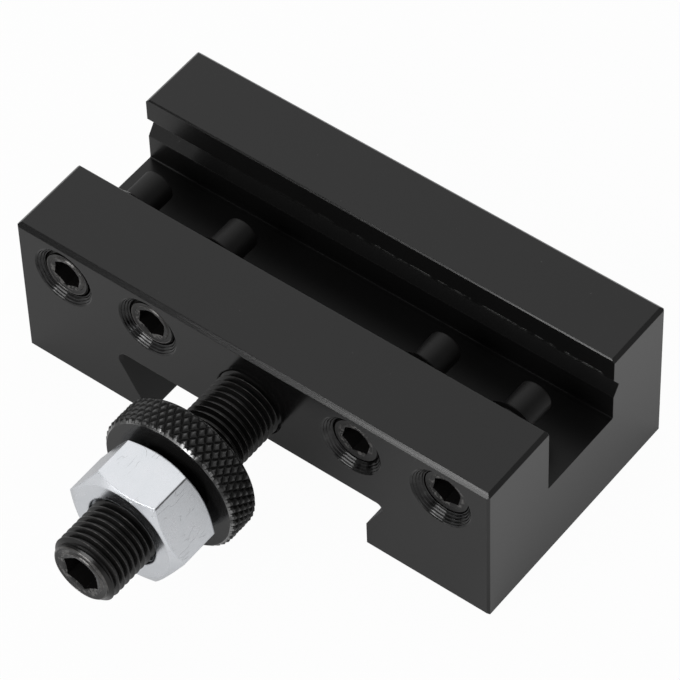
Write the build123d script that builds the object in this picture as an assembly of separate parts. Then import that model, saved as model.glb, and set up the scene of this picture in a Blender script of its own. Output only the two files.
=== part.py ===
from build123d import *
import os
from math import ceil, cos, pi, radians, sin, tan

# Quick-change tool holder for a lathe, in millimetres.
# X runs along the holder, Y from the screw face to the far wall, and Z up from the face that meets
# the tool post. The origin is the middle of the holder's length, on the bottom front edge.

# Block
block_length = 76.2
block_width = 38.1
block_height = 24.7
front_edge_chamfer = 0.6
top_edge_chamfer = 0.5
edge_break = 0.3

# Tool slot, open at the top and at both ends
front_jaw_thickness = 12.75
slot_width = 14.15
slot_depth = 11.5
slot_corner_radius = 0.2
slot_lip_chamfer = 0.2
vee_drop = 5.6
vee_width = 3.4
vee_depth = 1.15

# Dovetail, cut through the bottom along Y
dovetail_depth = 10.0
flank_angle = 60.0
left_mouth = 17.65
left_tip_height = 0.45
left_corner_radius = 1.5
right_mouth = 18.6
right_tip_height = 4.3
right_corner_radius = 0.9

# Clamp screws, two near each end of the front jaw, about level with the vee
screw_drop = 5.9
screw_end_distance = 7.5
screw_pitch = 14.1
screw_diameter = 8.0
screw_length = 19.35
screw_recesses = (0.65, 0.8, 1.05, 1.3)
screw_end_chamfer = 0.65
screw_shoulder_chamfer = 0.5
dog_diameter = 4.8
dog_length = 5.5
dog_edge_chamfer = 0.3
screw_key_size = 4.0
screw_socket_depth = 4.5
screw_socket_turns = (23.5, 24.0, 16.0, 21.0)
screw_hole_mouth = 9.6

# Height stud, screwed to the bottom of a blind hole in the front jaw, above the dovetail
stud_rise = 5.45
stud_diameter = 10.0
stud_reach = 34.0
stud_seat_depth = 11.0
stud_end_chamfer = 0.8
stud_key_size = 5.0
stud_socket_depth = 6.0
stud_socket_turn = 38.0
stud_hole_mouth = 10.6

# Knurled height nut, measured over the crests of its diamonds
knurled_diameter = 21.2
knurled_thickness = 5.0
knurled_stand_off = 11.6
knurled_rim_chamfer = 0.5
knurl_pitch = 1.3
knurl_row_spacing = 0.93
knurl_depth = 0.4
knurled_mouth = 10.8

# Hexagon lock nut
lock_across_flats = 16.0
lock_thickness = 8.0
lock_gap = 1.2
lock_face_diameter = 15.2
lock_chamfer_angle = 30.0
lock_turn = -4.0
lock_mouth = 10.8

# Fits: each is a gap on the radius
screw_clearance = 0.05
nut_clearance = 0.05
stud_clearance = 0.02
socket_entry = 0.1
socket_entry_angle = 30.0
drill_point_angle = 118.0

far_wall_y = front_jaw_thickness + slot_width
slot_floor = block_height - slot_depth
vee_level = block_height - vee_drop
screw_level = block_height - screw_drop
stud_level = dovetail_depth + stud_rise
outer_screw = block_length / 2 - screw_end_distance
inner_screw = outer_screw - screw_pitch
screw_places = (-outer_screw, -inner_screw, inner_screw, outer_screw)
knurl_columns = 2 * round(pi * knurled_diameter / knurl_pitch)
knurl_rows = 2 * ceil(knurled_thickness / 2 / knurl_row_spacing)


def turned(outline):
    """A solid turned about Z from its half outline, given as (radius, height) points."""
    rim = Polyline(*[(radius, 0, height) for radius, height in outline], close=True)
    return revolve(make_face(rim), Axis.Z)


def facing_out(solid, x, y, z):
    """Lays a solid built along +Z so that it points out of the screw face, along -Y."""
    return Pos(x, y, z) * Rot(90, 0, 0) * solid


def hexagon(across_flats, height, turn):
    """A hexagonal prism that stands on the XY plane, with a corner at the angle turn."""
    return extrude(RegularPolygon(across_flats / 2, 6, major_radius=False, rotation=turn), height)


def hex_socket(across_flats, depth, turn):
    """The space of a key socket: its mouth is at Z = 0 and its drilled bottom points down."""
    corner = across_flats / 2 / cos(radians(30))
    flat = across_flats / 2
    point = flat / tan(radians(drill_point_angle / 2))
    mouth = corner + socket_entry
    entry_depth = (mouth - flat) * tan(radians(socket_entry_angle))
    entry = turned([(0, 0), (mouth, 0), (flat, -entry_depth), (0, -depth)])
    drilled = turned([(0, -depth / 2), (flat, -depth / 2), (flat, -depth), (0, -depth - point)])
    return Pos(0, 0, -depth) * hexagon(across_flats, depth, turn) + entry + drilled


def tapped_mouth(hole_radius, mouth_radius):
    """The cone that opens a tapped hole, with its wide end just outside the face at Z = 0."""
    slope = mouth_radius - hole_radius
    return turned([(0, slope), (mouth_radius + slope, slope), (hole_radius, -slope), (0, -slope)])


def block_section():
    """The end view of the block: two jaws, the slot between them and the vee in the far one."""
    top = block_height
    points = [
        (edge_break, 0),
        (block_width - edge_break, 0),
        (block_width, edge_break),
        (block_width, top - top_edge_chamfer),
        (block_width - top_edge_chamfer, top),
        (far_wall_y + slot_lip_chamfer, top),
        (far_wall_y, top - slot_lip_chamfer),
        (far_wall_y, vee_level + vee_width / 2),
        (far_wall_y + vee_depth, vee_level),
        (far_wall_y, vee_level - vee_width / 2),
        (far_wall_y, slot_floor),
        (front_jaw_thickness, slot_floor),
        (front_jaw_thickness, top - slot_lip_chamfer),
        (front_jaw_thickness - slot_lip_chamfer, top),
        (front_edge_chamfer, top),
        (0, top - front_edge_chamfer),
        (0, edge_break),
    ]
    section = make_face(Polyline(*[(0, y, z) for y, z in points], close=True))
    floor_corners = section.vertices().filter_by(lambda corner: abs(corner.Z - slot_floor) < 1e-6)
    return fillet(floor_corners, slot_corner_radius)


def dovetail_space():
    """The undercut space for the post, run past both faces. Its right tip is cut back to a flat."""
    lean = 1 / tan(radians(flank_angle))
    left_top = left_mouth + (dovetail_depth - left_tip_height) * lean
    right_top = right_mouth + (dovetail_depth - right_tip_height) * lean
    below = -block_height
    points = [
        (-left_mouth, below),
        (-left_mouth, left_tip_height),
        (-left_top, dovetail_depth),
        (right_top, dovetail_depth),
        (right_mouth, right_tip_height),
        (right_mouth, below),
    ]
    section = make_face(Polyline(*[(x, 0, z) for x, z in points], close=True))
    ceiling = section.vertices().filter_by(lambda corner: abs(corner.Z - dovetail_depth) < 1e-6)
    section = fillet(ceiling.sort_by(Axis.X)[0], left_corner_radius)
    ceiling_right = section.vertices().filter_by(lambda corner: abs(corner.Z - dovetail_depth) < 1e-6)
    section = fillet(ceiling_right.sort_by(Axis.X)[-1], right_corner_radius)
    return extrude(section, block_width * 2, dir=(0, 1, 0), both=True)


def clamp_screw_holes():
    """The four tapped holes through the front jaw."""
    radius = screw_diameter / 2 + screw_clearance
    hole = Cylinder(radius, front_jaw_thickness * 3)
    hole = hole + tapped_mouth(radius, screw_hole_mouth / 2)
    return [facing_out(hole, x, 0, screw_level) for x in screw_places]


def stud_hole():
    """The blind tapped hole whose flat bottom seats the stud."""
    radius = stud_diameter / 2 + stud_clearance
    hole = Cylinder(radius, stud_seat_depth * 2)
    hole = hole + tapped_mouth(radius, stud_hole_mouth / 2)
    return facing_out(hole, 0, 0, stud_level)


def holder_body():
    """The block with its slot, vee, dovetail and tapped holes."""
    half = block_length / 2
    body = extrude(block_section(), half, dir=(1, 0, 0), both=True)
    ends = body.edges().filter_by(lambda edge: abs(abs(edge.center().X) - half) < 1e-6)
    rims = ends.filter_by(lambda edge: edge.center().Z > block_height - 1e-6)
    body = chamfer(rims, top_edge_chamfer)
    ends = body.edges().filter_by(lambda edge: abs(abs(edge.center().X) - half) < 1e-6)
    sides = ends.filter_by(lambda edge: edge.center().Y < 1e-6 or edge.center().Y > block_width - 1e-6)
    body = chamfer(sides, edge_break)
    body = body - dovetail_space()
    for hole in clamp_screw_holes():
        body = body - hole
    return body - stud_hole()


def clamp_screw(x, recess, socket_turn):
    """A set screw with a dog point, recessed in the front jaw, with its point in the slot."""
    radius = screw_diameter / 2
    dog = dog_diameter / 2
    thread_end = dog_length - screw_length
    outline = [
        (0, 0),
        (radius - screw_end_chamfer, 0),
        (radius, -screw_end_chamfer),
        (radius, thread_end + screw_shoulder_chamfer),
        (radius - screw_shoulder_chamfer, thread_end),
        (dog, thread_end),
        (dog, dog_edge_chamfer - screw_length),
        (dog - dog_edge_chamfer, -screw_length),
        (0, -screw_length),
    ]
    screw = turned(outline) - hex_socket(screw_key_size, screw_socket_depth, socket_turn)
    return facing_out(screw, x, recess, screw_level)


def height_stud():
    """The threaded stud that carries both nuts, with a key socket in its outer end."""
    radius = stud_diameter / 2
    bottom = -stud_reach - stud_seat_depth
    outline = [
        (0, 0),
        (radius - stud_end_chamfer, 0),
        (radius, -stud_end_chamfer),
        (radius, bottom + stud_end_chamfer),
        (radius - stud_end_chamfer, bottom),
        (0, bottom),
    ]
    stud = turned(outline) - hex_socket(stud_key_size, stud_socket_depth, stud_socket_turn)
    return facing_out(stud, 0, -stud_reach, stud_level)


def nut_bore(thickness, mouth):
    """The threaded hole of a nut that stands on Z = 0, opened by a cone at both faces."""
    radius = stud_diameter / 2 + nut_clearance
    upper = Pos(0, 0, thickness) * tapped_mouth(radius, mouth / 2)
    lower = Rot(180, 0, 0) * tapped_mouth(radius, mouth / 2)
    return Cylinder(radius, thickness * 3) + upper + lower


def knurl_point(column, row):
    """A point of the knurl's lattice: crests and the crossings of grooves take turns in every row."""
    crest = knurled_diameter / 2
    radius = crest if (column + row) % 2 == 0 else crest - knurl_depth
    angle = 2 * pi * column / knurl_columns
    height = knurled_thickness / 2 + (row - knurl_rows / 2) * knurl_row_spacing
    return Vector(radius * cos(angle), radius * sin(angle), height)


def knurled_bar():
    """A bar with a diamond knurl all over its rim, which runs past both faces of the nut."""
    faces = []
    for row in range(knurl_rows):
        for column in range(knurl_columns):
            near = [knurl_point(column + step, row) for step in (0, 1)]
            far = [knurl_point(column + step, row + 1) for step in (0, 1)]
            if (column + row) % 2 == 0:
                halves = [(near[0], near[1], far[0]), (far[1], far[0], near[1])]
            else:
                halves = [(near[0], near[1], far[1]), (near[0], far[1], far[0])]
            faces += [Face(Wire.make_polygon(half)) for half in halves]
    for row in (0, knurl_rows):
        rim = [knurl_point(column, row) for column in range(knurl_columns)]
        faces.append(Face(Wire.make_polygon(rim)))
    return Solid(Shell(faces))


def rim_chamfers(columns):
    """Two pyramids that meet outside the knurl, so they cut nothing but its ends. Each column has a flat."""
    reach = knurled_thickness / 2
    face = knurled_diameter / 2 - knurled_rim_chamfer
    rings = []
    for radius, height in ((face, 0), (face + reach, reach), (face, knurled_thickness)):
        angles = [2 * pi * (column + 0.5) / columns for column in range(columns)]
        rings.append([Vector(radius * cos(angle), radius * sin(angle), height) for angle in angles])
    sides = []
    for near, far in zip(rings, rings[1:]):
        for corner in range(columns):
            sides.append((near[corner - 1], near[corner], far[corner], far[corner - 1]))
    faces = [Face(Wire.make_polygon(side)) for side in [rings[0], *sides, rings[-1]]]
    return Solid(Shell(faces))


def knurled_nut():
    """The round nut that sets the height of the holder on its post."""
    nut = knurled_bar() & rim_chamfers(knurl_columns)
    nut = nut - nut_bore(knurled_thickness, knurled_mouth)
    return facing_out(nut, 0, -knurled_stand_off, stud_level)


def lock_nut():
    """The hexagon nut that locks the knurled one, chamfered on both faces."""
    corner = lock_across_flats / 2 / cos(radians(30))
    face = lock_face_diameter / 2
    drop = (corner * 1.1 - face) * tan(radians(lock_chamfer_angle))
    outline = [
        (0, 0),
        (face, 0),
        (corner * 1.1, drop),
        (corner * 1.1, lock_thickness - drop),
        (face, lock_thickness),
        (0, lock_thickness),
    ]
    nut = hexagon(lock_across_flats, lock_thickness, lock_turn) & turned(outline)
    nut = nut - nut_bore(lock_thickness, lock_mouth)
    stand_off = knurled_stand_off + knurled_thickness + lock_gap
    return facing_out(nut, 0, -stand_off, stud_level)


def save(solid, node):
    """Writes one piece to its own file."""
    export_step(solid, f"parts/{node}.step")


os.makedirs("parts", exist_ok=True)
save(holder_body(), "holder_body")
for number, setting in enumerate(zip(screw_places, screw_recesses, screw_socket_turns), start=1):
    save(clamp_screw(*setting), f"clamp_screw_{number}")
save(height_stud(), "height_stud")
save(knurled_nut(), "knurled_nut")
save(lock_nut(), "lock_nut")
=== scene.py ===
"""Looks of the lathe tool holder: a black steel block, four clamp screws, a stud and its two nuts."""

import math

import bpy
from mathutils import Matrix, Vector

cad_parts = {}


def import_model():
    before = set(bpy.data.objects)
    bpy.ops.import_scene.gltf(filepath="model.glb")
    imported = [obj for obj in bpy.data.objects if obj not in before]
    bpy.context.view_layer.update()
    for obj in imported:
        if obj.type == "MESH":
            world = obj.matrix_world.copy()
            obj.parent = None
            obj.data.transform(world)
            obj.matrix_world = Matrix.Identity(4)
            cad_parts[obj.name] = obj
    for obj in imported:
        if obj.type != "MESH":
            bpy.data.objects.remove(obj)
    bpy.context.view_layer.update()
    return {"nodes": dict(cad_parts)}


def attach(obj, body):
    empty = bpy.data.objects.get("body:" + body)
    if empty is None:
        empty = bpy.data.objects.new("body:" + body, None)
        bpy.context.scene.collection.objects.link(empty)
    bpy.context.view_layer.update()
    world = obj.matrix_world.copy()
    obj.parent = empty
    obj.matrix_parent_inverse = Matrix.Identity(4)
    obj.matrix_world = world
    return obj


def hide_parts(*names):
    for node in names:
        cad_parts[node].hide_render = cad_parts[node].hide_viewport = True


MM = 0.001

# The photograph's camera, in millimetres and degrees
camera_place = (243.78, -280.19, 477.45)
camera_azimuth = 39.166
camera_elevation = 50.499
camera_roll = -2.282
camera_lens = 244.66
camera_shift = (-0.00074, 0.00074)
sensor_width = 36.0

# Faces of the block, where its finish changes
block_top = 24.7
dovetail_ceiling = 10.0
dovetail_corner = 23.0
slot_floor = 13.2
slot_near = 12.75
slot_far = 26.9
vee_bottom = 28.05
vee_lip = 20.8

# Clamp screws, each screwed in to its own depth
screw_places = (-30.6, -16.5, 16.5, 30.6)
screw_recesses = (0.65, 0.8, 1.05, 1.3)
screw_level = 18.8
screw_socket_turns = (23.5, 24.0, 16.0, 21.0)
screw_rims = (0.15, 0.12, 0.03, 0.03)
screw_sizes = {
    "Place X": 0.0,
    "Place Y": 0.8,
    "Place Z": screw_level,
    "Turn": 0.0,
    "Length": 19.35,
    "Thread length": 13.85,
    "Crest": 4.0,
    "Root": 3.35,
    "Pitch": 1.25,
    "End radius": 3.35,
    "Key": 4.0,
    "Socket depth": 4.5,
    "Rim": 0.05,
    "Dog radius": 2.4,
    "Dog edge": 0.3,
}
dog_point_start = 15.0

# Height stud
stud_level = 15.45
stud_sizes = {
    "Place X": 0.0,
    "Place Y": -34.0,
    "Place Z": stud_level,
    "Turn": 38.0,
    "Length": 45.0,
    "Crest": 5.0,
    "Root": 4.39,
    "Pitch": 1.0,
    "End radius": 4.2,
    "Key": 5.0,
    "Socket depth": 6.0,
    "Rim": 0.15,
}

# Countersinks of the clamp screws' holes, cut with a tool that left rings
countersink_sizes = {
    "Place X": 0.0,
    "Place Y": 0.0,
    "Place Z": screw_level,
    "Turn": 0.0,
    "Mouth": 4.8,
    "Lip": 3.6,
    "Ring pitch": 0.29,
    "Ring height": 0.048,
}
countersink_rows = 40
countersink_clearance = 0.22

# Knurled height nut
knurled_sizes = {
    "Place X": 0.0,
    "Place Y": -16.6,
    "Place Z": stud_level,
    "Turn": 0.0,
    "Crest": 10.6,
    "Face radius": 10.0,
    "Thickness": 5.0,
    "Knurl depth": 0.4,
    "Row spacing": 0.93,
    "Mouth": 5.4,
    "Bore": 5.05,
}
knurl_columns = 102
knurl_rows = 6
knurl_steps = 5
knurl_roundness = 1.7

# Hexagon lock nut
lock_sizes = {
    "Place X": 0.0,
    "Place Y": -25.8,
    "Place Z": stud_level,
    "Turn": -4.0,
    "Across flats": 16.0,
    "Thickness": 8.0,
    "Face radius": 7.6,
    "Mouth": 5.45,
    "Bore": 5.05,
}
lock_chamfer_angle = 30.0
# Across and up of the nut's corner edge where a dark reflection is painted
dark_edge_place = (5.25, 23.05)

socket_entry = 0.06
socket_entry_angle = 20.0
drill_point_angle = 118.0

# Each turn of a round piece has this many columns of faces: a whole number to each side of a hexagon.
turn_columns = 72

# Studio: a floor, and a soft square lamp at the front
floor_size = 6000.0
lamp_place = (-85, -672, 436)
lamp_target = (0, 0, 20)
lamp_size = 458
lamp_power = 3.7


class Wire:
    """An output of a node. Arithmetic on it adds Math nodes to its graph."""

    def __init__(self, graph, socket):
        self.graph = graph
        self.socket = socket

    def __add__(self, other):
        return self.graph.math("ADD", self, other)

    def __sub__(self, other):
        return self.graph.math("SUBTRACT", self, other)

    def __rsub__(self, other):
        return self.graph.math("SUBTRACT", other, self)

    def __mul__(self, other):
        return self.graph.math("MULTIPLY", self, other)

    def __truediv__(self, other):
        return self.graph.math("DIVIDE", self, other)

    def __abs__(self):
        return self.graph.math("ABSOLUTE", self)

    __radd__ = __add__
    __rmul__ = __mul__


class Graph:
    """A node tree that is being written, for a material or for Geometry Nodes."""

    def __init__(self, tree):
        self.tree = tree

    def node(self, kind, settings=None, inputs=None, output=0):
        """Adds a node: its settings first, then the values or links of its sockets."""
        made = self.tree.nodes.new(kind)
        for name, value in (settings or {}).items():
            setattr(made, name, value)
        for name, value in (inputs or {}).items():
            for item in value if isinstance(value, list) else [value]:
                if isinstance(item, Wire):
                    self.tree.links.new(item.socket, made.inputs[name])
                else:
                    made.inputs[name].default_value = item
        return Wire(self, made.outputs[output]) if made.outputs else None

    def math(self, operation, *values):
        return self.node("ShaderNodeMath", {"operation": operation}, dict(enumerate(values)))

    def lower(self, first, second):
        return self.math("MINIMUM", first, second)

    def higher(self, first, second):
        return self.math("MAXIMUM", first, second)

    def rise(self, value, start, end):
        """0 up to start, 1 from end, and a smooth step between them."""
        inputs = {"Value": value, "From Min": start, "From Max": end, "To Min": 0.0, "To Max": 1.0}
        return self.node("ShaderNodeMapRange", {"interpolation_type": "SMOOTHSTEP"}, inputs)

    def parts(self, vector, axes="XYZ"):
        """The X, Y and Z of a vector, or some of them."""
        return [self.node("ShaderNodeSeparateXYZ", None, {0: vector}, axis) for axis in axes]

    def join(self, x, y, z):
        """A vector from its X, Y and Z."""
        return self.node("ShaderNodeCombineXYZ", None, {0: x, 1: y, 2: z})

    def distance(self, x, z):
        """How far a point is from an axis along Y."""
        return self.math("SQRT", x * x + z * z)


class Shape(Graph):
    """A Geometry Nodes tree for a piece turned about an axis along Y, with named sizes in millimetres.

    A piece's outline is followed so that its faces point outwards: along a bore or socket towards its near
    end, which looks along -Y, then over the rim and along the outside to its far end.
    """

    def __init__(self, name, sizes):
        super().__init__(bpy.data.node_groups.new(name, "GeometryNodeTree"))
        self.walls = []
        self.size = {}
        sockets = self.tree.interface
        for size, value in sizes.items():
            socket = sockets.new_socket(size, in_out="INPUT", socket_type="NodeSocketFloat")
            socket.default_value = value
        sockets.new_socket("Geometry", in_out="OUTPUT", socket_type="NodeSocketGeometry")
        entry = self.tree.nodes.new("NodeGroupInput")
        for size in sizes:
            self.size[size] = Wire(self, entry.outputs[size])

    def sheet(self, width, height, columns, rows):
        """A flat grid of faces, and the X and Y of its points."""
        sizes = {"Size X": width, "Size Y": height, "Vertices X": columns + 1, "Vertices Y": rows + 1}
        grid = self.node("GeometryNodeMeshGrid", None, sizes)
        x, y = self.parts(self.node("GeometryNodeInputPosition"), "XY")
        return grid, x, y

    def wrap(self, sheet, turn, radius, depth):
        """Bends a sheet round the axis."""
        angle = self.size["Turn"] * math.radians(1) - turn * math.tau
        point = self.join(radius * self.math("COSINE", angle), depth, radius * self.math("SINE", angle))
        wrapped = self.node("GeometryNodeSetPosition", None, {"Geometry": sheet, "Position": point})
        self.walls.append(wrapped)

    def wall(self, profile, turns=1, rows=1, columns=turn_columns):
        """A wall round the axis. profile gives its radius and depth from the turn and the share across."""
        sheet, turn, across = self.sheet(float(turns), 1.0, turns * columns, rows)
        radius, depth = profile(turn, across + 0.5)
        self.wrap(sheet, turn, radius, depth)

    def rings(self, *rings, columns=turn_columns):
        """Plain walls from ring to ring.

        A ring is a radius and a depth, or a function that gives them for a turn.
        """
        for near, far in zip(rings, rings[1:]):
            def profile(turn, share, near=near, far=far):
                near_radius, near_depth = near(turn) if callable(near) else near
                far_radius, far_depth = far(turn) if callable(far) else far
                radius = near_radius * (1.0 - share) + far_radius * share
                return radius, near_depth * (1.0 - share) + far_depth * share
            self.wall(profile, columns=columns)

    def hexagon(self, turn, across_flats):
        """The radius of a hexagon at a turn, with a corner at turn 0."""
        from_flat = self.math("FLOORED_MODULO", turn * math.tau, math.tau / 6) - math.tau / 12
        return across_flats * 0.5 / self.math("COSINE", from_flat)

    def thread(self, length, turns):
        """A screw thread with flat crests and roots. Two cones cut its ends."""
        crest, root = self.size["Crest"], self.size["Root"]
        pitch, end_radius = self.size["Pitch"], self.size["End radius"]
        half_crest = 1 / 22
        half_root = 1 / 8
        steps = [
            (-half_crest, crest),
            (half_crest, crest),
            (0.5 - half_root, root),
            (0.5 + half_root, root),
            (1.0 - half_crest, crest),
        ]
        for near, far in zip(steps, steps[1:]):
            def profile(turn, share, near=near, far=far):
                along = turn + share * (far[0] - near[0]) + (turns / 2 - 1 + near[0])
                depth = self.higher(self.lower(along * pitch, length), 0.0)
                radius = near[1] * (1.0 - share) + far[1] * share
                return self.lower(radius, end_radius + self.lower(depth, length - depth)), depth
            self.wall(profile, turns)

    def socket(self):
        """The key socket in the near end: a drilled bottom, six sides, a chamfered mouth and a rim."""
        key, depth = self.size["Key"], self.size["Socket depth"]
        point_depth = depth + key * (0.5 / math.tan(math.radians(drill_point_angle / 2)))
        mouth = key * (0.5 / math.cos(math.pi / 6)) + socket_entry

        def bottom(turn):
            return self.hexagon(turn, key), depth

        def entry(turn):
            radius = self.hexagon(turn, key)
            return radius, (mouth - radius) * math.tan(math.radians(socket_entry_angle))

        end_radius, rim = self.size["End radius"], self.size["Rim"]
        crown = mouth + 0.3
        shoulder = end_radius - 0.1
        face = [(mouth, 0.0), (crown, 0.0), (crown + rim, rim), (shoulder, rim * 0.6), (end_radius, 0.0)]
        self.rings((0.0, point_depth), (key * 0.5, depth), bottom, entry, *face)

    def finish(self, material, crest=None):
        """Joins the walls, keeps the height of the thread or knurl, and puts the piece in its place."""
        joined = self.node("GeometryNodeJoinGeometry", None, {"Geometry": self.walls[::-1]})
        shape = self.node("GeometryNodeMergeByDistance", None, {"Geometry": joined, "Distance": 0.0005})
        if crest:
            radius = self.distance(*self.parts(self.node("GeometryNodeInputPosition"), "XZ"))
            root, top = crest
            kept = {"Geometry": shape, "Name": "crest", "Value": (radius - root) / (top - root)}
            shape = self.node("GeometryNodeStoreNamedAttribute", {"domain": "POINT"}, kept)
        place = self.join(*[self.size["Place " + axis] * MM for axis in "XYZ"])
        moved = {"Geometry": shape, "Translation": place, "Scale": (MM, MM, MM)}
        shape = self.node("GeometryNodeTransform", None, moved)
        shape = self.node("GeometryNodeRealizeInstances", None, {"Geometry": shape})
        shape = self.node("GeometryNodeSetMaterial", None, {"Geometry": shape, "Material": material})
        self.node("NodeGroupOutput", None, {"Geometry": shape})
        return self

    def make(self, name, **sizes):
        """A plain mesh object from this tree, with some of its sizes set."""
        piece = bpy.data.objects.new(name, bpy.data.meshes.new(name))
        bpy.context.scene.collection.objects.link(piece)
        modifier = piece.modifiers.new("shape", "NODES")
        modifier.node_group = self.tree
        for socket in self.tree.interface.items_tree:
            if socket.name in sizes:
                modifier[socket.identifier] = sizes[socket.name]
        shown = piece.evaluated_get(bpy.context.evaluated_depsgraph_get())
        piece.data = bpy.data.meshes.new_from_object(shown)
        piece.modifiers.clear()
        piece.data.name = name
        piece.data.shade_smooth()
        piece.data.set_sharp_from_angle(angle=math.radians(28))
        return piece


class Finish(Graph):
    """A material of the object. Its lengths are in millimetres."""

    def __init__(self, name):
        self.material = bpy.data.materials.new(name)
        self.material.use_nodes = True
        self.material.node_tree.nodes.clear()
        super().__init__(self.material.node_tree)
        place = self.node("ShaderNodeTexCoord", output="Object")
        self.point = self.stretched(place, 1 / MM, 1 / MM, 1 / MM)

    def stretched(self, point, x, y, z):
        """A vector with its X, Y and Z multiplied."""
        return self.node("ShaderNodeVectorMath", {"operation": "MULTIPLY"}, {0: point, 1: (x, y, z)})

    def noise(self, scale, detail=2.0, point=None):
        """Grey noise from 0 to 1, with that many features to a millimetre."""
        inputs = {"Vector": point or self.point, "Scale": scale, "Detail": detail}
        return self.node("ShaderNodeTexNoise", None, inputs)

    def blend(self, share, first, second):
        """A colour between two others."""
        return self.node("ShaderNodeMix", {"data_type": "RGBA"}, {0: share, 6: first, 7: second}, 2)

    def bump(self, height, depth, normal):
        """Relief on a normal, from a height of 0 to 1 that stands for that depth."""
        inputs = {"Height": height, "Distance": depth * MM, "Strength": 1.0, "Normal": normal}
        return self.node("ShaderNodeBump", None, inputs)

    def bevel(self, radius):
        """A normal that rounds edges to that radius."""
        return self.node("ShaderNodeBevel", {"samples": 6}, {"Radius": radius * MM})

    def flat(self):
        """The way that a face looks, without smoothing."""
        return self.node("ShaderNodeNewGeometry", output="True Normal")

    def turned(self, normal):
        """How far a rounded normal turns away from its face, from 0 inside the face to 1."""
        smooth = self.node("ShaderNodeNewGeometry", output="Normal")
        inputs = {0: normal, 1: smooth}
        return 1.0 - self.node("ShaderNodeVectorMath", {"operation": "DOT_PRODUCT"}, inputs, "Value")

    def crest(self):
        """The height on a thread or knurl, from 0 at its root to 1 at its crest."""
        return self.node("ShaderNodeAttribute", {"attribute_name": "crest"}, None, "Fac")

    def close(self, sockets, matt_and_shade=None):
        """Ends the material. A matt_and_shade share of it is plain black without a sheen: a duller finish
        on the screws' dog points, and painted shade in the holder's slot.
        """
        shader = self.node("ShaderNodeBsdfPrincipled", None, sockets)
        if matt_and_shade:
            matt = self.node("ShaderNodeBsdfDiffuse", None, {"Color": grey(0.012)})
            shader = self.node("ShaderNodeMixShader", None, {0: matt_and_shade, 1: shader, 2: matt})
        self.node("ShaderNodeOutputMaterial", None, {"Surface": shader})
        return self.material


def grey(level, warmth=0.0):
    """A linear grey, a little warm or cool."""
    return (level * (1 + warmth), level, level * (1 - warmth), 1.0)


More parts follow.
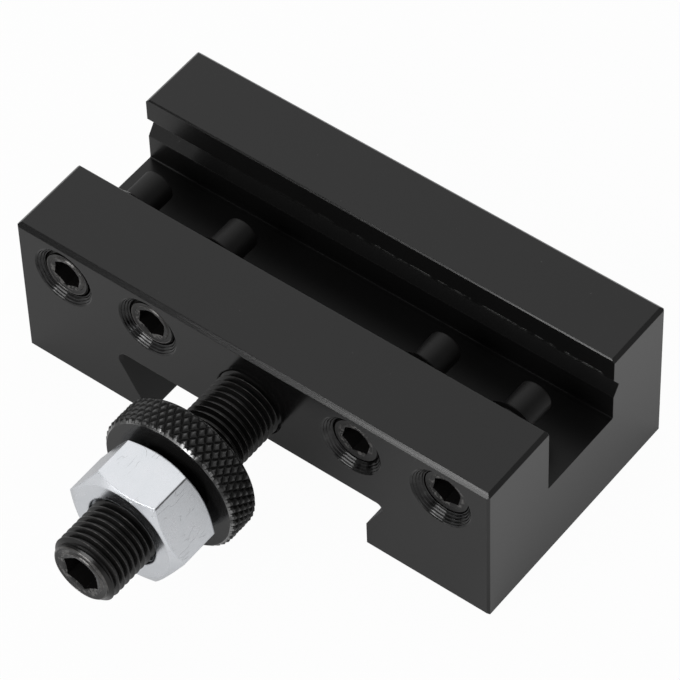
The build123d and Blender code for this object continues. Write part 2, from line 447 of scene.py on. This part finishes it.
def holder_finish():
    """Black oxide on a ground and milled block, rubbed here and there along its edges, with painted shade
    in its slot, painted light in its dovetail and a painted highlight on the right part of its long
    chamfer.
    """
    finish = Finish("holder_oxide")
    across, along, up = finish.parts(finish.point)
    flat = finish.flat()
    side, front, top = finish.parts(flat)
    cloud = finish.noise(0.09, 3.0)
    grain = finish.noise(7.0, 3.0)
    # Where the dovetail lies, the slot, the slot's vee and the corner under it
    inside = finish.rise(abs(across), dovetail_corner + 1.0, dovetail_corner - 1.0)
    inside = inside * finish.rise(abs(front), 0.6, 0.4)
    dovetail = finish.rise(up, dovetail_ceiling + 0.06, dovetail_ceiling + 0.02) * inside
    inside = finish.rise(along, slot_near - 0.15, slot_near - 0.05)
    inside = inside * finish.rise(along, vee_bottom + 0.15, vee_bottom + 0.05)
    inside = inside * finish.rise(abs(side), 0.6, 0.4)
    slot = finish.rise(up, block_top - 0.25, block_top - 0.3)
    slot = slot * finish.rise(up, slot_floor - 0.2, slot_floor - 0.1) * inside
    vee = finish.rise(along, slot_far + 0.02, slot_far + 0.06) * slot
    low = finish.rise(up, slot_floor + 1.0, slot_floor + 0.6)
    far = finish.rise(along, slot_far - 1.0, slot_far - 0.6)
    corner = low * far * finish.rise(across, -35.0, -31.0) * slot
    # The long chamfer was ground lengthwise. Its rubbed streaks are kept to the right part of it: real
    # grinding marks, with a painted highlight there.
    chamfer = finish.rise(abs(front * top), 0.3, 0.45) * (1.0 - slot)
    streaks = finish.noise(1.0, 3.0, finish.stretched(finish.point, 0.05, 5.0, 5.0))
    ground_and_sheen = finish.rise(streaks, 0.48, 0.62) * finish.rise(across, -14.0, 10.0) * chamfer
    # Edges look rounded, but for the slot's corner.
    inputs = {0: corner, 4: finish.bevel(0.12), 5: flat}
    rounded = finish.node("ShaderNodeMix", {"data_type": "VECTOR"}, inputs, 1)
    edge = finish.rise(finish.turned(rounded), 0.01, 0.12)
    speck = finish.rise(finish.noise(1.6, 1.0), 0.80, 0.84)
    worn = finish.rise(finish.noise(0.6, 3.0), 0.5, 0.7)
    # Chips along the vee's upper lip
    chips = finish.rise(abs(up - (vee_lip + 0.1)), 0.36, 0.2) * finish.rise(across, -25.0, 20.0) * slot
    chips = chips * finish.rise(finish.noise(0.8, 2.0), 0.35, 0.6) * finish.noise(5.0, 2.0)
    rubbed = finish.lower(edge * worn * 0.4 + speck * 0.3 + chips * 0.6 + ground_and_sheen * 0.33, 1.0)
    normal = finish.bump(streaks * chamfer, 0.02, finish.bump(grain, 0.0008, rounded))
    normal = finish.bump(chips, 0.28, normal)
    oxide = finish.blend(cloud, grey(0.0046, 0.01), grey(0.0060, 0.01))
    # Inside the dovetail the base is a lighter grey: painted light on its faces.
    oxide = finish.blend(dovetail, oxide, grey(0.055))
    oxide = finish.blend(chamfer * streaks, oxide, grey(0.012))
    # The slot takes a share of plain matt black as painted shade, more on its upward faces and along its
    # vee, but not at the left ends of the slot and the vee, which stay bright. The slot's corner past its
    # left end is made matt black as well, mottled.
    matt_and_shade = (slot - vee) * (0.2 + finish.rise(top, 0.6, 0.9) * 0.25) * finish.rise(across, -37.0, -30.0)
    matt_and_shade = matt_and_shade + vee * finish.rise(across, -31.0, -22.0) * 0.45
    matt_and_shade = finish.higher(matt_and_shade, corner * (0.7 + worn * 0.25))
    return finish.close({
        "Base Color": finish.blend(rubbed, oxide, grey(0.12, 0.01)),
        "Roughness": 0.14 + cloud * 0.03 + grain * 0.03 + (slot - vee) * 0.14 + dovetail * 0.35,
        "Metallic": rubbed * 0.4,
        "IOR": 1.42,
        "Normal": normal,
    }, matt_and_shade)


def countersink_finish():
    """Black oxide on the ridges that the countersink left, rubbed in patches."""
    finish = Finish("countersink_oxide")
    grain = finish.noise(9.0, 3.0)
    patch = finish.rise(finish.noise(0.7, 2.0), 0.3, 0.7)
    return finish.close({
        "Base Color": finish.blend(patch, grey(0.003), grey(0.058)),
        "Roughness": 0.08 + grain * 0.07,
        "Metallic": patch * 0.95,
        "IOR": 1.38,
        "Normal": finish.bump(grain, 0.002, finish.bevel(0.02)),
    })


def screw_finish():
    """Black oxide on rolled threads, rubbed at the crests and round the socket."""
    finish = Finish("screw_oxide")
    along = finish.parts(finish.point, "Y")[0]
    front = finish.parts(finish.flat(), "Y")[0]
    height = finish.crest()
    rounded = finish.bevel(0.03)
    crest = finish.rise(height, 0.9, 1.0)
    end = finish.rise(height, 0.0, -0.1)
    point = finish.rise(along, dog_point_start - 0.1, dog_point_start + 0.1)
    grain = finish.noise(5.0, 3.0)
    turned = finish.noise(5.0, 2.0, finish.join(height, 0.0, 0.0)) * end
    patch = finish.rise(finish.noise(0.8, 2.0), 0.35, 0.7)
    fine = finish.rise(finish.noise(2.5, 2.0), 0.3, 0.7)
    # The raised rim round the socket, and the face beside it, are rubbed by the key.
    slope = finish.rise(front, -0.88, -0.82) * finish.rise(front, -0.60, -0.66) * end
    beside = finish.rise(front, -0.88, -0.92) * finish.rise(height, -0.6, -1.3)
    beside = beside * finish.rise(fine * patch, 0.2, 0.5)
    key = slope * (0.5 + 0.5 * fine) + beside * end
    edge = finish.rise(finish.turned(rounded), 0.02, 0.12) * end
    rubbed = finish.lower(crest * (0.12 + 0.88 * patch * fine) + edge * patch * 0.5 + key, 1.0)
    return finish.close({
        "Base Color": finish.blend(rubbed, grey(0.008, 0.03), grey(0.12, 0.03)),
        "Roughness": 0.18 + grain * 0.12 + point * 0.2,
        "Metallic": rubbed * 0.6,
        "IOR": 1.38,
        "Normal": finish.bump(turned, 0.028, finish.bump(grain, 0.0020, rounded)),
    }, point * 0.3)


def knurl_finish():
    """Black oxide on the knurled nut, rubbed along its rims and a little at the tops of the diamonds."""
    finish = Finish("knurl_oxide")
    front = finish.parts(finish.flat(), "Y")[0]
    height = finish.crest()
    knurled = finish.rise(height, -0.3, 0.0)
    grain = finish.noise(5.0, 3.0)
    patch = finish.rise(finish.noise(0.35, 2.0), 0.4, 0.65)
    # The chamfers at both faces are rubbed, and the grooves between the diamonds aren't.
    rim = finish.rise(height, -0.56, -0.48) * finish.rise(height, 0.6, 0.3)
    rim = rim * finish.rise(abs(front), 0.62, 0.68)
    tops = finish.rise(height, 0.6, 1.0) * (0.45 + 0.45 * patch)
    rubbed = finish.lower(tops + rim * (0.2 + 0.8 * patch), 1.0)
    oxide = finish.blend(rubbed, grey(0.008, 0.02), grey(0.12))
    return finish.close({
        "Base Color": finish.blend(rim * patch, oxide, grey(0.34)),
        "Roughness": 0.16 + knurled * 0.09 + grain * 0.08,
        "Metallic": rubbed,
        "IOR": 1.45,
        "Normal": finish.bump(grain, 0.0015, finish.bevel(0.03)),
    })


def zinc_finish():
    """Bright zinc plate on the lock nut, with fine scratches and a dark reflection painted along one edge.
    """
    finish = Finish("zinc_plate")
    across, up = finish.parts(finish.point, "XZ")
    cloud = finish.noise(0.5, 3.0)
    grain = finish.noise(3.0, 3.0)
    rounded = finish.bevel(0.28)
    # The edges are duller, so that they show the knurl beside them as a plain dark line.
    edge = finish.rise(finish.turned(rounded), 0.002, 0.03)
    # Fine scratches lie in patches, where a stretched noise crosses its middle.
    drawn = finish.noise(1.0, 1.0, finish.stretched(finish.point, 0.9, 0.25, 0.9))
    hair = 1.0 - finish.rise(abs(drawn - 0.5), 0.003, 0.010)
    handled = finish.rise(finish.noise(0.3, 1.0), 0.56, 0.62)
    bore_edge = lock_sizes["Mouth"]
    outside = finish.rise(finish.distance(across, up - stud_level), bore_edge + 0.05, bore_edge + 0.15)
    marks = hair * handled * outside * 0.25
    # A dark reflection is painted along the nut's upper corner edge. It reaches a little to both sides of
    # that edge.
    edge_across, edge_up = dark_edge_place
    reach = finish.noise(1.3, 1.0) * 0.1 + 0.08
    near = finish.distance(across - edge_across, up - edge_up) - reach
    painted_dark_edge = finish.rise(near, 0.07, -0.07)
    plate = finish.blend(cloud, (0.765, 0.795, 0.83, 1.0), (0.875, 0.89, 0.925, 1.0))
    plate = finish.blend(painted_dark_edge * 0.85, plate, grey(0.07))
    relief = finish.bump(cloud, 0.012, finish.bump(grain, 0.0008, rounded))
    return finish.close({
        "Base Color": finish.blend(marks * 0.6, plate, grey(0.3)),
        "Roughness": 0.16 + grain * 0.08 + cloud * 0.10 + edge * 0.22,
        "Metallic": 1.0,
        "Normal": finish.bump(marks, -0.03, relief),
    })


def floor_finish():
    """A white sweep: part of it is its own light, so that it shows white and still takes a soft shadow."""
    finish = Finish("studio_floor")
    seen = finish.node("ShaderNodeLightPath", output="Is Camera Ray")
    mirrored = finish.node("ShaderNodeLightPath", output="Is Glossy Ray")
    through = finish.node("ShaderNodeLightPath", output="Is Transmission Ray")
    across, along = finish.parts(finish.point, "XY")
    # The black faces mirror the floor, which is lighter towards the right, in front and at the left.
    under = finish.rise(across, -30.0, 25.0) * 0.14
    right = finish.rise(across, 30.0, 55.0) * 0.31 - finish.rise(across, 60.0, 90.0) * 0.38
    front = finish.rise(along, -20.0, -40.0) * 0.12
    left = finish.rise(across, -10.0, -30.0) * 0.07
    glow = under + right + front + left + 0.125
    share = finish.lower(seen * 0.97 + mirrored * glow + through * 0.95, 1.0)
    paper = finish.node("ShaderNodeBsdfDiffuse", None, {"Color": grey(0.72)})
    light = finish.node("ShaderNodeEmission", None, {"Color": grey(1.0), "Strength": 1.0})
    mixed = finish.node("ShaderNodeMixShader", None, {0: share, 1: paper, 2: light})
    finish.node("ShaderNodeOutputMaterial", None, {"Surface": mixed})
    return finish.material


def thread_turns(length, pitch):
    """Whole turns of thread that cover a length, with one to spare at each end."""
    return math.ceil(length / pitch) + 2


def screw_shape(material):
    """A set screw with a key socket and a rounded dog point."""
    shape = Shape("dog_point_screw", screw_sizes)
    end_radius, thread_length = shape.size["End radius"], shape.size["Thread length"]
    dog, edge, length = shape.size["Dog radius"], shape.size["Dog edge"], shape.size["Length"]
    shape.socket()
    shape.thread(thread_length, thread_turns(screw_sizes["Thread length"], screw_sizes["Pitch"]))
    steps = 5
    quarter = [math.pi / 2 * step / steps for step in range(steps + 1)]
    rounded = [(dog - edge * (1 - math.cos(a)), length - edge * (1 - math.sin(a))) for a in quarter]
    shape.rings((end_radius, thread_length), (dog, thread_length), *rounded, (0.0, length))
    return shape.finish(material, crest=(shape.size["Root"], shape.size["Crest"]))


def stud_shape(material):
    """The height stud, threaded from end to end, with a key socket."""
    shape = Shape("threaded_stud", stud_sizes)
    length = shape.size["Length"]
    shape.socket()
    shape.thread(length, thread_turns(stud_sizes["Length"], stud_sizes["Pitch"]))
    shape.rings((shape.size["End radius"], length), (0.0, length))
    return shape.finish(material, crest=(shape.size["Root"], shape.size["Crest"]))


def countersink_shape():
    """The mouth of a clamp screw's hole: a cone with the rings that the tool left, down to the thread."""
    shape = Shape("countersink_rings", countersink_sizes)
    mouth, lip = shape.size["Mouth"], shape.size["Lip"]
    inset, edge_width, edge_depth = 0.004, 0.03, 0.12
    hidden_wall = 4.12
    # The cone stands at 45 degrees, so what is lifted off it goes as far inwards as outwards.
    lean = 0.7
    ridge_slope, ridge_top = 2.2, 0.25
    fade = 8.0

    def ridged(turn, share):
        radius = lip * (1.0 - share) + mouth * share
        place = (mouth - radius) / shape.size["Ring pitch"]
        across = abs(place - shape.math("FLOOR", place) - 0.5) * 2.0
        ridge = shape.lower((1.0 - across) * ridge_slope, 1.0 - across * ridge_top)
        lift = (ridge * shape.size["Ring height"] + inset) * shape.lower((1.0 - share) * fade, 1.0)
        return radius - lift * lean, mouth - radius - lift * lean

    shape.wall(ridged, rows=countersink_rows)
    drop = mouth - lip
    outer_edge = (mouth + edge_width, edge_depth)
    inner_edge = (lip - inset * lean, drop - inset * lean)
    shape.rings((mouth, 0.0), outer_edge, (hidden_wall, drop + hidden_wall - lip), inner_edge)
    return shape.finish(countersink_finish())


def knurled_shape():
    """The knurled nut: pyramids between two sets of crossing grooves, and two smooth faces."""
    shape = Shape("diamond_knurl", knurled_sizes)
    crest, face, thickness = (shape.size[name] for name in ("Crest", "Face radius", "Thickness"))
    mouth, bore = shape.size["Mouth"], shape.size["Bore"]
    columns = knurl_columns * knurl_steps
    rows = knurl_rows * knurl_steps

    def wave(value):
        return abs(value - shape.math("ROUND", value))

    sheet, x, y = shape.sheet(float(knurl_columns), float(knurl_rows), columns, rows)
    row = y + knurl_rows / 2
    # Diamonds are first bent up and down by turns, so that faces are split along the grooves.
    lift = shape.math("COSINE", x * math.pi) + shape.math("COSINE", row * math.pi)
    lifted = {"Geometry": sheet, "Position": shape.join(x, y, lift)}
    sheet = shape.node("GeometryNodeSetPosition", None, lifted)
    sheet = shape.node("GeometryNodeTriangulate", {"quad_method": "SHORTEST_DIAGONAL"}, {"Mesh": sheet})
    depth = shape.higher(shape.lower(y * shape.size["Row spacing"] + thickness * 0.5, thickness), 0.0)
    groove = shape.higher(wave((x + row) * 0.5), wave((x - row) * 0.5)) * 2.0
    radius = crest - shape.size["Knurl depth"] * shape.math("POWER", groove, knurl_roundness)
    rim = face + shape.lower(depth, thickness - depth)
    shape.wrap(sheet, x / float(knurl_columns), shape.lower(radius, rim), depth)
    chamfer = mouth - bore
    shape.rings(
        (face, thickness), (mouth, thickness), (bore, thickness - chamfer), (bore, chamfer),
        (mouth, 0.0), (face, 0.0), columns=columns,
    )
    return shape.finish(knurl_finish(), crest=(crest - shape.size["Knurl depth"], crest))


def lock_shape():
    """The hexagon nut, with both faces chamfered."""
    shape = Shape("hexagon_nut", lock_sizes)
    flats, thickness, face = (shape.size[name] for name in ("Across flats", "Thickness", "Face radius"))
    mouth, bore = shape.size["Mouth"], shape.size["Bore"]
    slope = math.tan(math.radians(lock_chamfer_angle))

    def near_edge(turn):
        radius = shape.hexagon(turn, flats)
        return radius, (radius - face) * slope

    def far_edge(turn):
        radius, drop = near_edge(turn)
        return radius, thickness - drop

    # The bore's mouths narrow a little, and then to the thread.
    neck, neck_depth, thread_depth = mouth - 0.05, 0.6, 1.0
    shape.rings(
        (mouth, 0.0), (face, 0.0), near_edge, far_edge, (face, thickness), (mouth, thickness),
        (neck, thickness - neck_depth), (bore, thickness - thread_depth), (bore, thread_depth),
        (neck, neck_depth), (mouth, 0.0),
    )
    return shape.finish(zinc_finish())


def make_camera():
    """Puts the camera where the photograph was taken from."""
    turn, rise, roll = map(math.radians, (camera_azimuth, camera_elevation, camera_roll))
    back = Vector((math.sin(turn) * math.cos(rise), -math.cos(turn) * math.cos(rise), math.sin(rise)))
    right = Vector((math.cos(turn), math.sin(turn), 0.0))
    right.rotate(Matrix.Rotation(roll, 3, back))
    axes = Matrix((right, back.cross(right), back)).transposed()
    data = bpy.data.cameras.new("camera")
    data.lens = camera_lens
    data.sensor_width = sensor_width
    data.shift_x, data.shift_y = camera_shift
    data.clip_start = 0.05
    data.clip_end = 20.0
    camera = bpy.data.objects.new("camera", data)
    camera.matrix_world = Matrix.Translation(Vector(camera_place) * MM) @ axes.to_4x4()
    bpy.context.scene.collection.objects.link(camera)
    bpy.context.scene.camera = camera


def make_lamp():
    """A soft square lamp in front of the holder."""
    data = bpy.data.lights.new("key_lamp", "AREA")
    data.shape = "SQUARE"
    data.size = lamp_size * MM
    data.energy = lamp_power
    lamp = bpy.data.objects.new("key_lamp", data)
    lamp.location = Vector(lamp_place) * MM
    lamp.rotation_euler = (Vector(lamp_place) - Vector(lamp_target)).to_track_quat("Z", "Y").to_euler()
    bpy.context.scene.collection.objects.link(lamp)


def make_room():
    """The surroundings: white to the camera, and to the object a dim room with a few bright places."""
    world = bpy.data.worlds.new("studio")
    world.use_nodes = True
    world.node_tree.nodes.clear()
    room = Graph(world.node_tree)
    seen = room.node("ShaderNodeLightPath", output="Is Camera Ray")
    x, y, z = room.parts(room.node("ShaderNodeTexCoord", output="Generated"))
    # A window at the back and left, a little dimmer low at its left end
    window = (1.0 - room.rise(x, -0.70, 0.80)) * room.rise(y, -0.5, 0.35) * 0.97
    window = window * (1.0 - room.rise(x, -0.75, -0.90) * room.rise(z, 0.35, 0.10) * 0.5)
    # A white card that stands low at the front left, and a wall at the right
    card = room.rise(x, -0.40, -0.45) * room.rise(x, -0.75, -0.65)
    card = card * room.rise(z, 0.24, 0.10) * room.rise(y, -0.7, -0.8) * 1.5
    wall = room.rise(x, 0.45, 0.8) * room.rise(z, 0.95, 0.1) * 0.4
    dim = 0.12
    strength = (dim + window + card + wall) * (1.0 - seen) + seen
    sky = room.node("ShaderNodeBackground", None, {"Color": grey(1.0), "Strength": strength})
    room.node("ShaderNodeOutputWorld", None, {"Surface": sky})
    bpy.context.scene.world = world


def make_studio():
    """Floor, surroundings and lamp."""
    bpy.ops.mesh.primitive_plane_add(size=floor_size * MM, location=(0, 0, 0))
    floor = bpy.context.object
    floor.name = "floor"
    floor.data.materials.append(floor_finish())
    make_room()
    make_lamp()


def dress(piece, body, node=None):
    """Says which body a piece rides on and which CAD node it stands for."""
    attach(piece, body)
    if node:
        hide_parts(node)


def main():
    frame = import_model()
    bpy.context.scene.view_settings.view_transform = "Standard"
    make_camera()
    make_studio()
    holder = frame["nodes"]["holder_body"]
    holder.data.materials.clear()
    holder.data.materials.append(holder_finish())
    oxide = screw_finish()
    screw, countersink = screw_shape(oxide), countersink_shape()
    settings = zip(screw_places, screw_recesses, screw_socket_turns, screw_rims)
    for number, (place, recess, turn, rim) in enumerate(settings, start=1):
        name = f"clamp_screw_{number}"
        sizes = {"Place X": place, "Place Y": recess, "Turn": turn, "Rim": rim}
        piece = screw.make(f"{name}_threaded", **sizes)
        dress(piece, name, name)
        # The cone ends clear of the screw's own end chamfer.
        reach = screw_sizes["End radius"] + countersink_clearance - recess
        lip = (countersink_sizes["Mouth"] + reach) / 2
        rings = countersink.make(f"countersink_{number}", **{"Place X": place, "Lip": lip})
        dress(rings, "holder")
    dress(stud_shape(oxide).make("height_stud_threaded"), "holder", "height_stud")
    dress(knurled_shape().make("knurled_nut_knurl"), "knurled_nut", "knurled_nut")
    dress(lock_shape().make("lock_nut_plated"), "lock_nut", "lock_nut")


main()
